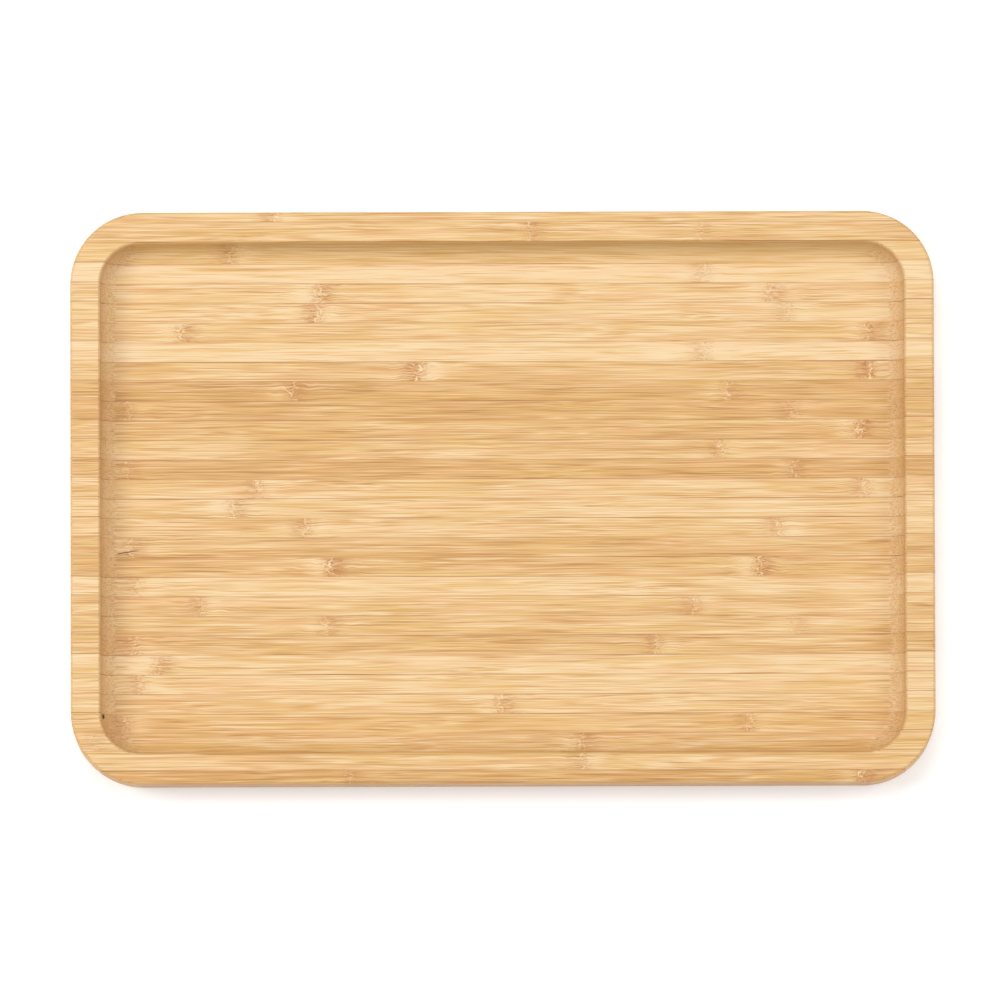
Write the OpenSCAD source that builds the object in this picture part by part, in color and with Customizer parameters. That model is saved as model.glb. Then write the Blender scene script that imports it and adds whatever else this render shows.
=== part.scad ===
// Serving tray milled from one board of side-pressed bamboo.
//
// The staves stand on edge, run along X and are glued face to face, so every glue line is a
// vertical plane that passes through the rim, the cove and the floor alike. Staves are counted
// from the back edge (+Y) to the front edge (-Y).
// The origin is the centre of the resting face, with +X along the length and +Z up.

/* [Tray] */
// Length of the tray, along the staves
tray_l = 300; // [240:5:400]
// Width of the tray, across the staves
tray_w = 199; // [160:1:260]
// Height from the resting face to the top of the rim
tray_h = 20; // [18:0.5:26]
// Plan radius of the four outer corners
corner_r = 25; // [20:1:30]
// Radius that the outer top and bottom edges are eased to
outer_ease_r = 1; // [0.5:0.1:2.2]

/* [Recess] */
// Width of the rim at the two ends
end_rim_w = 10.4; // [8:0.1:16]
// Width of the rim along the two long sides
side_rim_w = 10.8; // [8:0.1:16]
// Thickness of the floor under the recess
floor_t = 8; // [5:0.5:8]
// Plan radius of the recess corners, at the wall
recess_corner_r = 14; // [12:1:22]
// Radius of the cove that joins the wall to the floor
cove_r = 6; // [3:0.5:8]
// Radius that the inner edge of the rim is eased to
inner_ease_r = 1.4; // [0.5:0.1:1.5]

/* [Staves] */
// Number of staves glued side by side
stave_count = 30; // [20:1:36]
// Width that is left of the stave at the back edge
back_stave_w = 3.6; // [3:0.1:5]
// Width that is left of the stave at the front edge
front_stave_w = 4.6; // [3:0.1:5]
// Thickness of the glue film between two staves
glue_t = 0.12; // [0.06:0.02:0.2]

/* [Hidden] */
$fn = 96;

// A full stave, after the glue has taken its share
pitch = (tray_w - back_stave_w - front_stave_w) / (stave_count - 2);

// The inner ease meets the rim's top at an angle, as sanding leaves it
inner_ease_rise = 0.9 * inner_ease_r;

// Cutters run this far past the solid that they cut
over = 2;

// Bamboo shades from the darkest to the lightest, and the grade of each stave from the back edge
shades = [
    [0.87, 0.68, 0.44],
    [0.91, 0.73, 0.50],
    [0.94, 0.77, 0.56],
    [0.96, 0.82, 0.64],
];
grades = [2, 2, 0, 3, 2, 2, 2, 3, 1, 0, 0, 1, 1, 0, 2, 2, 2, 1, 1, 3, 2, 1, 1, 2, 2, 2, 1, 0, 2, 0];
glue_shade = [0.45, 0.27, 0.12];

// Node names
function stave_name(i) = str("stave_", i < 10 ? "0" : "", i);

// Y of glue plane k, which lies between stave k and stave k + 1
function glue_y(k) = tray_w / 2 - back_stave_w - (k - 1) * pitch;

// Back and front face of stave i, where the two outermost staves run past the edge
function stave_back(i) = i == 1 ? tray_w / 2 + over : glue_y(i - 1) - glue_t / 2;
function stave_front(i) = i == stave_count ? -tray_w / 2 - over : glue_y(i) + glue_t / 2;

// Carries a profile along the four sides and around the four corners of a rounded rectangle,
// and fills the middle. The child's x runs outwards from the corner axis and its y is height.
module rounded_block(length, width, plan_r, bottom, top) {
    half_l = length / 2 - plan_r;
    half_w = width / 2 - plan_r;
    translate([-half_l, -half_w, bottom]) cube([2 * half_l, 2 * half_w, top - bottom]);
    for (side = [0, 1]) mirror([side, 0, 0]) {
        translate([half_l, half_w, 0]) rotate([90, 0, 0]) linear_extrude(2 * half_w) children();
        for (end = [0, 1]) mirror([0, end, 0]) translate([half_l, half_w, 0])
            rotate_extrude(angle = 90) children();
    }
    for (side = [0, 1]) mirror([0, side, 0])
        translate([-half_l, half_w, 0]) rotate([90, 0, 90]) linear_extrude(2 * half_l) children();
}

// Quarter of a disc, in the quadrant where x and y are positive
module quarter_disc(r) {
    intersection() {
        circle(r);
        square(r);
    }
}

// Edge profile of the blank: square, with its two outer edges eased
module blank_profile() {
    square([corner_r - outer_ease_r, tray_h]);
    translate([corner_r - outer_ease_r, outer_ease_r])
        square([outer_ease_r, tray_h - 2 * outer_ease_r]);
    translate([corner_r - outer_ease_r, tray_h - outer_ease_r]) quarter_disc(outer_ease_r);
    translate([corner_r - outer_ease_r, outer_ease_r]) mirror([0, 1]) quarter_disc(outer_ease_r);
}

// Edge profile of the recess: flat floor, cove, short upright wall and the eased rim edge
module recess_profile() {
    wall_foot = floor_t + cove_r;
    ease_foot = tray_h - inner_ease_rise;
    translate([0, floor_t]) square([recess_corner_r - cove_r, tray_h + over - floor_t]);
    translate([recess_corner_r - cove_r, wall_foot]) {
        mirror([0, 1]) quarter_disc(cove_r);
        square([cove_r, tray_h + over - wall_foot]);
    }
    translate([recess_corner_r, ease_foot]) difference() {
        square([inner_ease_r, inner_ease_rise + over]);
        translate([inner_ease_r, 0]) circle(inner_ease_r);
    }
}

// The finished tray as one shape, before it is divided into staves
module tray_shape() {
    difference() {
        rounded_block(tray_l, tray_w, corner_r, 0, tray_h) blank_profile();
        rounded_block(tray_l - 2 * end_rim_w, tray_w - 2 * side_rim_w, recess_corner_r,
                      floor_t, tray_h + over) recess_profile();
    }
}

// Full-length slice of space between two values of y
module slice(front, back) {
    translate([-tray_l / 2 - over, front, -over])
        cube([tray_l + 2 * over, back - front, tray_h + 2 * over]);
}

module stave(i) {
    color(shades[grades[(i - 1) % len(grades)]]) intersection() {
        tray_shape();
        slice(stave_front(i), stave_back(i));
    }
}

module glue_films() {
    color(glue_shade) intersection() {
        tray_shape();
        union() {
            for (k = [1 : stave_count - 1]) slice(glue_y(k) - glue_t / 2, glue_y(k) + glue_t / 2);
        }
    }
}

for (i = [1 : stave_count]) stave(i);
glue_films();
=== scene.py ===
import math

import bmesh
import bpy
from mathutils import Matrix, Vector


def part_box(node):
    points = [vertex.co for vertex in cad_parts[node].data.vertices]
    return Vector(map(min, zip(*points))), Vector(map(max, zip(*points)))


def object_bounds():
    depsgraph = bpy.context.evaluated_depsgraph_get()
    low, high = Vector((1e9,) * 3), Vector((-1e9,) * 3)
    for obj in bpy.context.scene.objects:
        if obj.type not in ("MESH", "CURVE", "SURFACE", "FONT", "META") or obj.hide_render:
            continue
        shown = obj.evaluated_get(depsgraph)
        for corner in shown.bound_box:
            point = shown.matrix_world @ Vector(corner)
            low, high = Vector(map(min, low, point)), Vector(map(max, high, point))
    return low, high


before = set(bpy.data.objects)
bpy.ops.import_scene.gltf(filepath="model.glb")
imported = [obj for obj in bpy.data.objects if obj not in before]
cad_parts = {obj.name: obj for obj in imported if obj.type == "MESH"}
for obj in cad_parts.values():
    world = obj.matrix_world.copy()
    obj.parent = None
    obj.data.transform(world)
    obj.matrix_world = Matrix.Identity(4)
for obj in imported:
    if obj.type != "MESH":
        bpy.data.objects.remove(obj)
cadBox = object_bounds()
print("frame loaded,", len(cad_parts), "nodes")


class Wire:
    # A node socket of one material. Sums and products of wires add Math nodes.
    def __init__(self, tree, socket=None):
        self.tree = tree
        self.socket = socket

    def add(self, kind, inputs=None, output=0, stops=None, **settings):
        made = self.tree.nodes.new(kind)
        for key, value in settings.items():
            setattr(made, key, value)
        if stops:
            ramp = made.color_ramp
            while len(ramp.elements) < len(stops):
                ramp.elements.new(0.5)
            for element, (place, colour) in zip(ramp.elements, stops):
                element.position = place
                element.color = colour
        for key, value in (inputs or {}).items():
            if isinstance(value, Wire):
                self.tree.links.new(value.socket, made.inputs[key])
            else:
                made.inputs[key].default_value = value
        return Wire(self.tree, made.outputs[output])

    def math(self, operation, *values):
        return self.add("ShaderNodeMath", dict(enumerate(values)), operation=operation)

    def vector(self, operation, inputs, output=0):
        return self.add("ShaderNodeVectorMath", inputs, output, operation=operation)

    def parts(self):
        # the three numbers of a vector
        made = self.add("ShaderNodeSeparateXYZ", {0: self}).socket.node
        return [Wire(self.tree, socket) for socket in made.outputs]

    def __add__(self, other):
        return self.math("ADD", self, other)

    def __sub__(self, other):
        return self.math("SUBTRACT", self, other)

    def __rsub__(self, other):
        return self.math("SUBTRACT", other, self)

    def __mul__(self, other):
        return self.math("MULTIPLY", self, other)

    def __truediv__(self, other):
        return self.math("DIVIDE", self, other)

    def __rtruediv__(self, other):
        return self.math("DIVIDE", other, self)

    def __neg__(self):
        return self * -1.0

    __radd__ = __add__
    __rmul__ = __mul__

    def size(self):
        return self.math("ABSOLUTE", self)

    def atLeast(self, least):
        return self.math("MAXIMUM", self, least)

    def bell(self, half):
        # 1 in the middle, falling off to nearly nothing at twice the half width
        reduced = self / half
        return self.math("EXPONENT", -(reduced * reduced))

    def step(self, start, end):
        # smooth rise from 0 at start to 1 at end
        return self.add("ShaderNodeMapRange", {"Value": self, "From Min": start, "From Max": end},
                        interpolation_type="SMOOTHSTEP")

    def blend(self, first, second):
        # colour mix, with this wire as the factor
        return self.add("ShaderNodeMix", {0: self, 6: first, 7: second}, 2, data_type="RGBA")

    def drive(self, shader, name):
        self.tree.links.new(self.socket, shader.inputs[name])


def rgb(red, green, blue):
    # screen colour, 0 to 255, as the linear colour that shaders work in
    def linear(level):
        level /= 255
        return level / 12.92 if level <= 0.04045 else ((level + 0.055) / 1.055) ** 2.4
    return (linear(red), linear(green), linear(blue), 1.0)


def newMaterial(name):
    material = bpy.data.materials.new(name)
    material.use_nodes = True
    tree = material.node_tree
    shader = next(n for n in tree.nodes if n.type == "BSDF_PRINCIPLED")
    return material, Wire(tree), shader


def total(wires):
    result = wires[0]
    for wire in wires[1:]:
        result = result + wire
    return result


# The board: one entry for each stave from the back edge to the front edge. The tone runs from
# 0 for dark fibre to 1 for the palest straw. The skin is +1 where the dense fibres lie towards
# the back. A knot is (place along the tray in mm, strength). Gold shifts a stave to yellow.
board = {
    "staves": [
        {"tone": 0.65, "skin": 1, "knots": [(-79, 0.8)]},
        {"tone": 0.61, "skin": -1, "knots": [(9.5, 0.8), (69, 0.5)]},
        {"tone": 0.72, "skin": 1, "gold": 0.2, "knots": [(-94, 0.9)]},
        {"tone": 0.95, "skin": 1, "knots": [(71, 0.7)]},
        {"tone": 0.78, "skin": -1, "knots": [(-64, 1.2), (93, 0.9)]},
        {"tone": 0.77, "skin": 1, "knots": [(-64, 1.2), (100, 0.6)]},
        {"tone": 0.69, "skin": -1, "knots": [(-112, 1.1), (127, 1.1)]},
        {"tone": 0.94, "skin": 1, "knots": [(71, 0.7)]},
        {"tone": 0.62, "skin": 1, "knots": [(-29, 1.5), (128, 1.4)]},
        {"tone": 0.42, "skin": -1, "knots": [(-73.5, 1.2), (78, 0.8)]},
        {"tone": 0.42, "skin": 1, "knots": [(-130, 0.7), (101, 0.7)]},
        {"tone": 0.55, "skin": -1, "knots": [(124, 1.4)]},
        {"tone": 0.65, "skin": 1, "knots": [(76, 0.9)]},
        {"tone": 0.42, "skin": -1, "knots": [(-131, 0.7), (101, 0.8)]},
        {"tone": 0.69, "skin": 1, "knots": [(-85, 0.9), (126, 0.9)]},
        {"tone": 0.75, "skin": -1, "knots": [(-94, 0.9)]},
        {"tone": 0.70, "skin": 1, "knots": [(-68, 0.9), (96, 0.8)]},
        {"tone": 0.54, "skin": -1, "knots": [(-130, 0.9)]},
        {"tone": 0.54, "skin": -1, "knots": [(-60, 1.5), (89, 1.5)]},
        {"tone": 0.79, "skin": 1, "knots": [(-127, 0.7)]},
        {"tone": 0.64, "skin": 1, "knots": [(-105, 0.9), (67, 0.9)]},
        {"tone": 0.62, "skin": -1, "knots": [(-62, 0.9), (101, 0.4)]},
        {"tone": 0.53, "skin": 1, "knots": [(-128, 0.8), (53.5, 0.9)]},
        {"tone": 0.80, "skin": -1, "knots": [(-120, 0.9)]},
        {"tone": 0.77, "skin": 1, "knots": [(-126, 0.8)]},
        {"tone": 0.72, "skin": -1, "knots": [(-1, 1.0)]},
        {"tone": 0.60, "skin": 1, "gold": 0.1, "knots": [(-131, 0.8), (86, 0.9)]},
        {"tone": 0.63, "skin": -1, "knots": [(-143, 0.5), (27, 0.9)]},
        {"tone": 0.65, "skin": 1, "knots": [(28, 0.8)]},
        {"tone": 0.38, "skin": -1, "knots": [(-54, 0.8), (124, 1.4)]},
    ],
    # colour by tone
    "colours": [(0.0, rgb(170, 119, 59)), (0.3, rgb(189, 142, 79)), (0.6, rgb(207, 164, 106)),
                (0.85, rgb(219, 185, 135)), (1.0, rgb(224, 198, 156))],
    # colours laid over that, and how strongly
    "pinkCast": (rgb(220, 165, 110), 0.25),
    "yellowCast": (rgb(212, 169, 92), 0.31),
    "endGrain": (rgb(204, 162, 116), 0.35),
    # what each part of the grain adds to the tone, or takes from it
    "shade": {
        "blotch": 0.40, "bands": 0.30, "hairs": 1.42, "streaks": 0.66, "darkLine": 0.20,
        "bundle": 0.20, "pore": 0.60, "pale": 0.16, "lift": 0.07,
    },
    # textures: size along the fibres and across them in mm, and a seed that keeps them apart
    "grain": {
        "wander": (70, 8, 0), "sink": (90, 9, 5), "ripple": (6.5, 3.0, 9),
        "swirl": (2.2, 1.6, 13), "blotch": (34, 5.5, 6), "bands": (120, 1.4, 1),
        "streaks": (60, 0.40, 2), "hairs": (18, 0.26, 3), "bundles": (380, 0.64, 4),
        "pores": (1.0, 0.95, 11), "cast": (40, 3.0, 7), "dashes": (3.6, 0.32, 8),
        "specks": (0.9, 0.55, 10),
    },
    # how far the fibres stray, in mm
    "stray": {"wander": 1.6, "sink": 3.2, "ripple": 0.12, "knotRipple": 1.5, "knotSwirl": 1.6},
    # half widths and shifts of a knot's parts along the stave, in mm
    "knot": {
        "zone": 14.0, "core": 2.8, "line": 2.6, "lineEdge": (0.15, 0.55), "patch": 3.4,
        "patchShift": 2.6, "pale": 4.0, "paleShift": 4.5, "bow": 1.2, "bend": 7.0,
    },
    "knotLight": (rgb(230, 203, 160), 0.60),
    "knotBrown": rgb(176, 116, 62),
    # how strongly the brown shows
    "brown": {"patch": 0.14, "dashes": 0.48, "specks": 0.42},
    # glue that has soaked into the bamboo, with its width in mm
    "stain": {"colour": rgb(160, 108, 58), "width": 0.22, "strength": 0.42, "bands": 3.0},
    # small faults, by stave number: centre and half size in mm
    "marks": {
        3: [((-121.0, 83.6, 9.0), (0.25, 0.25, 1.0)), ((-94.3, 84.9, 9.0), (0.2, 0.2, 1.0))],
        9: [((149.0, 39.2, 19.5), (0.5, 0.35, 1.0))],
        27: [((-138.9, -75.4, 11.2), (0.6, 0.9, 1.4))],
    },
    # a short crack, by stave number: start and end in mm, half width
    "cracks": {18: ((-134.0, -18.5), (-126.0, -17.3), 0.12)},
    "fault": rgb(82, 52, 30),
    # where each mask starts and where it is full
    "edges": {
        "endFace": (0.04, 0.36), "darkLine": (0.53, 0.64), "bundle": (-0.07, 0.07),
        "pore": (0.16, 0.32), "pink": (0.5, 0.68), "yellow": (0.34, 0.5),
        "dashes": (0.47, 0.6), "specks": (0.5, 0.62), "mark": (0.6, 1.2),
    },
    "bundleSize": (0.22, 0.07),   # in the middle of a stave, and what the skin side adds
    "roughness": (0.42, 0.16, 0.12),   # everywhere, by streak, and on end grain
    # what lies proud of the surface, and what lies below it
    "relief": {"hairs": 0.5, "darkLine": 0.4, "bundle": 0.3, "pore": 0.8, "brown": 0.5},
    "bump": {"Strength": 0.35, "Distance": 0.00006},
}


def fibreSpace(place, texture, seed):
    # space in which one unit is the texture's own length along the fibres and width across them
    x, y, z = place
    length, width, ownSeed = board["grain"][texture]
    seed += ownSeed
    return x.add("ShaderNodeCombineXYZ", {0: x / length + seed, 1: y / width + seed * 0.7,
                                          2: z / width - seed * 0.4})


def fibreNoise(place, texture, seed):
    return place[0].add("ShaderNodeTexNoise",
                        {"Vector": fibreSpace(place, texture, seed), "Scale": 1.0,
                         "Detail": 1.0, "Roughness": 0.5})


def fibreCells(place, texture, seed, randomness):
    return place[0].add("ShaderNodeTexVoronoi",
                        {"Vector": fibreSpace(place, texture, seed), "Scale": 1.0,
                         "Randomness": randomness}, output="Distance")


def knotMasks(stave, x, across, swirl):
    # where the knots disturb the fibres, and where their parts lie
    knot = board["knot"]
    skin = stave["skin"]
    masks = {"zone": [], "core": [], "line": [], "patch": [], "pale": []}
    for start, strength in stave["knots"]:
        along = x - start
        bow = along + across * across * (knot["bow"] * skin) + swirl * knot["bend"]
        masks["zone"].append(along.bell(knot["zone"]) * strength)
        masks["core"].append(along.bell(knot["core"]) * strength)
        masks["line"].append((1 - bow.size().step(*knot["lineEdge"])) * along.bell(knot["line"])
                             * strength)
        masks["patch"].append((along + knot["patchShift"] * skin).bell(knot["patch"]) * strength)
        masks["pale"].append((along - knot["paleShift"] * skin).bell(knot["pale"]) * strength)
    return {name: total(wires) for name, wires in masks.items()}


def addFaults(colour, index, inMillimetres, x, y, swirl):
    for centre, half in board["marks"].get(index, []):
        reach = colour.vector("SUBTRACT", {0: inMillimetres, 1: centre})
        reach = colour.vector("DIVIDE", {0: reach, 1: half})
        reach = colour.vector("LENGTH", {0: reach}, "Value")
        colour = (1 - reach.step(*board["edges"]["mark"])).blend(colour, board["fault"])
    if index in board["cracks"]:
        start, end, half = board["cracks"][index]
        slope = (end[1] - start[1]) / (end[0] - start[0])
        off = (y - start[1] - (x - start[0]) * slope + swirl * 0.5).size()
        inside = x.step(start[0] - 1, start[0] + 1) * (1 - x.step(end[0] - 3, end[0] + 1))
        crack = (1 - off.step(half, half * 2.5)) * inside
        colour = (crack * 0.85).blend(colour, board["fault"])
    return colour


def staveMaterial(name, stave, index):
    material, net, shader = newMaterial(name)
    low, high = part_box(name)
    middle = (low[1] + high[1]) * 500      # mm, from a box in metres
    halfWidth = (high[1] - low[1]) * 500
    seed = 3.7 + 11.3 * index              # so that no two staves look alike
    edges = board["edges"]

    objectPlace = net.add("ShaderNodeTexCoord", output="Object")
    inMillimetres = net.vector("SCALE", {0: objectPlace, "Scale": 1000.0})
    place = x, y, z = inMillimetres.parts()
    # the fibres are cut across where the surface turns to face an end of the tray
    towardsEnd = net.add("ShaderNodeTexCoord", output="Normal").parts()[0].size()
    endFace = towardsEnd.step(*edges["endFace"])

    # fibres wander a little along the stave, ripple beside a knot and swirl inside it
    wander = fibreNoise(place, "wander", seed) - 0.5
    sink = fibreNoise(place, "sink", seed) - 0.5
    ripple = fibreNoise(place, "ripple", seed) - 0.5
    swirl = fibreNoise(place, "swirl", seed) - 0.5
    across = (y - middle) / halfWidth
    masks = knotMasks(stave, x, across, swirl)
    stray = board["stray"]
    bentY = (y + wander * stray["wander"]
             + ripple * (masks["zone"] * stray["knotRipple"] + stray["ripple"])
             + swirl * masks["core"] * stray["knotSwirl"])
    bent = (x, bentY, z + sink * stray["sink"])

    # blotches, bands, fibre bundles and single fibres
    blotch = fibreNoise(place, "blotch", seed) - 0.5
    bands = fibreNoise(bent, "bands", seed) - 0.5
    streaks = fibreNoise(bent, "streaks", seed)
    hairs = fibreNoise(bent, "hairs", seed)
    bundleSize, skinAdds = board["bundleSize"]
    density = across * (skinAdds * stave["skin"]) + bundleSize
    bundle = 1 - (fibreCells(bent, "bundles", seed, 0.9) - density).step(*edges["bundle"])
    pore = (1 - fibreCells(place, "pores", seed, 1.0).step(*edges["pore"])) * endFace
    darkLine = streaks.step(*edges["darkLine"])
    shade = board["shade"]
    tone = (blotch * shade["blotch"] + bands * shade["bands"] + (hairs - 0.5) * shade["hairs"]
            - (streaks - 0.5) * shade["streaks"] - darkLine * shade["darkLine"]
            - bundle * shade["bundle"] - pore * shade["pore"] + masks["pale"] * shade["pale"]
            + (stave["tone"] + shade["lift"]))
    colour = net.add("ShaderNodeValToRGB", {0: tone}, stops=board["colours"])

    pinkCast, pinkShare = board["pinkCast"]
    yellowCast, yellowShare = board["yellowCast"]
    endGrain, endShare = board["endGrain"]
    cast = fibreNoise(place, "cast", seed) - stave.get("gold", 0.0)
    colour = (cast.step(*edges["pink"]) * pinkShare).blend(colour, pinkCast)
    colour = ((1 - cast.step(*edges["yellow"])) * yellowShare).blend(colour, yellowCast)
    colour = (endFace * endShare).blend(colour, endGrain)

    # a knot is a pale broken line with brown dashes on one side and specks around it
    knotLight, lightShare = board["knotLight"]
    dashes = fibreNoise(bent, "dashes", seed).step(*edges["dashes"])
    specks = fibreNoise(place, "specks", seed).step(*edges["specks"])
    share = board["brown"]
    brown = (masks["patch"] * (dashes * share["dashes"] + share["patch"])
             + masks["core"] * specks * share["specks"])
    colour = brown.blend(colour, board["knotBrown"])
    colour = (masks["line"] * (1 - specks * 0.8) * lightShare).blend(colour, knotLight)

    # the glue has stained a hair's breadth of bamboo here and there
    stain = board["stain"]
    fromEdge = halfWidth - (y - middle).size()
    soaked = (bands * stain["bands"] + stain["strength"]).atLeast(0.0)
    colour = ((1 - fromEdge.step(0.0, stain["width"])) * soaked).blend(colour, stain["colour"])

    colour = addFaults(colour, index, inMillimetres, x, y, swirl)
    colour.drive(shader, "Base Color")
    everywhere, byStreak, onEndGrain = board["roughness"]
    (streaks * byStreak + endFace * onEndGrain + everywhere).drive(shader, "Roughness")
    relief = board["relief"]
    height = (hairs * relief["hairs"] - darkLine * relief["darkLine"]
              - bundle * relief["bundle"] - pore * relief["pore"] - brown * relief["brown"])
    net.add("ShaderNodeBump", {**board["bump"], "Height": height}).drive(shader, "Normal")
    return material


glue = {
    "light": rgb(210, 166, 108),
    "dark": rgb(142, 88, 40),
    "patches": (22.0, 140.0, 60.0),   # how many to the metre, by axis
    "patchEdge": (0.40, 0.66),
    "roughness": (0.45, 0.15),        # everywhere, and what a patch adds
}


def glueMaterial():
    material, net, shader = newMaterial("glueFilms")
    place = net.add("ShaderNodeTexCoord", output="Object")
    spread = net.vector("MULTIPLY", {0: place, 1: glue["patches"]})
    patches = net.add("ShaderNodeTexNoise",
                      {"Vector": spread, "Scale": 1.0, "Detail": 3.0, "Roughness": 0.5})
    colour = patches.step(*glue["patchEdge"]).blend(glue["light"], glue["dark"])
    colour.drive(shader, "Base Color")
    everywhere, byPatch = glue["roughness"]
    (patches * byPatch + everywhere).drive(shader, "Roughness")
    return material


def dressBoard():
    for index, stave in enumerate(board["staves"], start=1):
        name = f"stave_{index:02d}"
        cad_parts[name].material_slots[0].material = staveMaterial(name, stave, index)
    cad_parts["glue_films"].material_slots[0].material = glueMaterial()


dressBoard()
print("bamboo done")

stage = {
    "floorRadius": 30.0,     # metres
    "floor": rgb(254, 254, 254),
    "floorRoughness": 0.9,
    "floorShine": 0.1,
    "floorGlow": (0.10, 0.11, 0.12, 1.0),   # a lit table, which keeps the shadows faint
    "skyStrength": 0.57,
    # place, diameter, watts
    "lamps": {
        "back": ((-0.1, 0.85, 2.2), 1.2, 15.2),
        "left": ((-1.5, 0.2, 1.8), 1.0, 18.6),
        "right": ((1.5, 0.2, 1.8), 1.1, 9.4),
        "front": ((0.2, -1.3, 1.9), 1.0, 6.5),
    },
    "cameraDistance": 7.0,
    "cameraTilt": 4.2,       # degrees from straight down, towards the front
    "cameraTurn": -0.17,     # degrees about the upright
    "cameraAim": (-0.0009, -0.001),
    "lens": 726.0,           # mm, before a sensor of the width below
    "sensor": 36.0,
    "farthest": 50.0,        # metres that the camera sees
}


def makeFloor():
    mesh = bpy.data.meshes.new("studioFloor")
    shape = bmesh.new()
    bmesh.ops.create_circle(shape, cap_ends=True, segments=96, radius=stage["floorRadius"])
    shape.to_mesh(mesh)
    shape.free()
    floor = bpy.data.objects.new("studioFloor", mesh)
    bpy.context.scene.collection.objects.link(floor)
    material, _, shader = newMaterial("studioPaper")
    shader.inputs["Base Color"].default_value = stage["floor"]
    shader.inputs["Roughness"].default_value = stage["floorRoughness"]
    shader.inputs["Specular IOR Level"].default_value = stage["floorShine"]
    shader.inputs["Emission Color"].default_value = stage["floorGlow"]
    shader.inputs["Emission Strength"].default_value = 1.0
    mesh.materials.append(material)


def makeLight():
    world = bpy.data.worlds.new("studio")
    bpy.context.scene.world = world
    world.use_nodes = True
    sky = next(n for n in world.node_tree.nodes if n.type == "BACKGROUND")
    sky.inputs["Color"].default_value = (1.0, 1.0, 1.0, 1.0)
    sky.inputs["Strength"].default_value = stage["skyStrength"]
    for name, (place, diameter, watts) in stage["lamps"].items():
        light = bpy.data.lights.new(name, "AREA")
        light.shape = "DISK"
        light.size = diameter
        light.energy = watts
        lamp = bpy.data.objects.new(name, light)
        lamp.location = place
        lamp.rotation_euler = (-lamp.location).to_track_quat("-Z", "Y").to_euler()
        bpy.context.scene.collection.objects.link(lamp)


def makeCamera():
    view = bpy.data.cameras.new("camera")
    view.lens = stage["lens"]
    view.sensor_width = stage["sensor"]
    view.clip_end = stage["farthest"]
    camera = bpy.data.objects.new("camera", view)
    tilt = math.radians(stage["cameraTilt"])
    turn = math.radians(stage["cameraTurn"])
    aimX, aimY = stage["cameraAim"]
    rimTop = cadBox[1][2]
    away = math.sin(tilt) * stage["cameraDistance"]
    camera.location = (aimX + math.sin(turn) * away, aimY - math.cos(turn) * away,
                       rimTop + math.cos(tilt) * stage["cameraDistance"])
    camera.rotation_euler = (tilt, 0.0, turn)
    bpy.context.scene.collection.objects.link(camera)
    bpy.context.scene.camera = camera
    bpy.context.scene.view_settings.view_transform = "Standard"


makeFloor()
makeLight()
makeCamera()
print("stage done")
